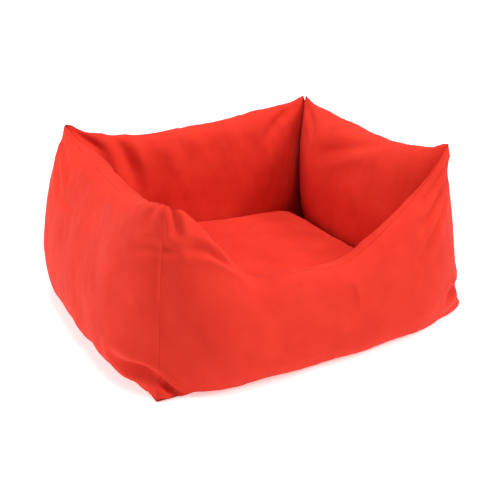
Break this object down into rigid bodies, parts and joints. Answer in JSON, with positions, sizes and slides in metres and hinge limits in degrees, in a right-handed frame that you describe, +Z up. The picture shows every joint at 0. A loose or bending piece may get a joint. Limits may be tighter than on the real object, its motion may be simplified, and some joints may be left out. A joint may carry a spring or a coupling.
{
  "type": "dog bed with padded walls",
  "caption": "Rectangular dog bed with stuffed fabric walls, a dipped front for stepping in, and a loose cushion with a zipped cover.",
  "frame": {"origin": "middle of the footprint on the floor", "axes": "+X along the front from its left to its right as the bed is faced, +Y from the dipped front to the back, +Z up"},
  "size_m": [0.6186, 0.5333, 0.274],
  "materials": {
    "cover_fabric": "woven",
    "polyester_filling": "fluffy",
    "non_slip_sheet": "dotted",
    "label_ribbon": "satin",
    "zip_tape": "woven",
    "zip_teeth": "moulded",
    "zip_metal": "satin"
  },
  "bodies": {
    "root": {"front_wall_outer_panel": "cover_fabric", "front_wall_inner_panel": "cover_fabric", "front_wall_filling": "polyester_filling", "left_wall_outer_panel": "cover_fabric", "left_wall_inner_panel": "cover_fabric", "left_wall_filling": "polyester_filling", "right_wall_outer_panel": "cover_fabric", "right_wall_inner_panel": "cover_fabric", "right_wall_filling": "polyester_filling", "back_wall_outer_panel": "cover_fabric", "back_wall_inner_panel": "cover_fabric", "back_wall_filling": "polyester_filling", "base_sheet": "non_slip_sheet", "floor_lining": "cover_fabric", "care_label": "label_ribbon"},
    "cushion": {"cushion_top_panel": "cover_fabric", "cushion_underside_panel": "cover_fabric", "cushion_filling": "polyester_filling", "zip_tape_lower": "zip_tape", "zip_tape_upper": "zip_tape", "zip_teeth": "zip_teeth", "zip_end_stops": "zip_metal"},
    "zip_slider": {"zip_slider": "zip_metal"},
    "zip_pull": {"zip_pull": "zip_metal"}
  },
  "joints": [
    {"name": "cushion_lift", "type": "slide", "parent": "root", "child": "cushion", "axis": [0, 0, 1], "range_m": [0, 0.3]},
    {"name": "zip_slide", "type": "slide", "parent": "cushion", "child": "zip_slider", "axis": [-1, 0, 0], "range_m": [0, 0.216]},
    {"name": "zip_pull_swing", "type": "hinge", "parent": "zip_slider", "child": "zip_pull", "pos_m": [0.108, 0.13551, 0.01981], "axis": [0, -0.8126, -0.5828], "range_deg": [0, 170]}
  ]
}
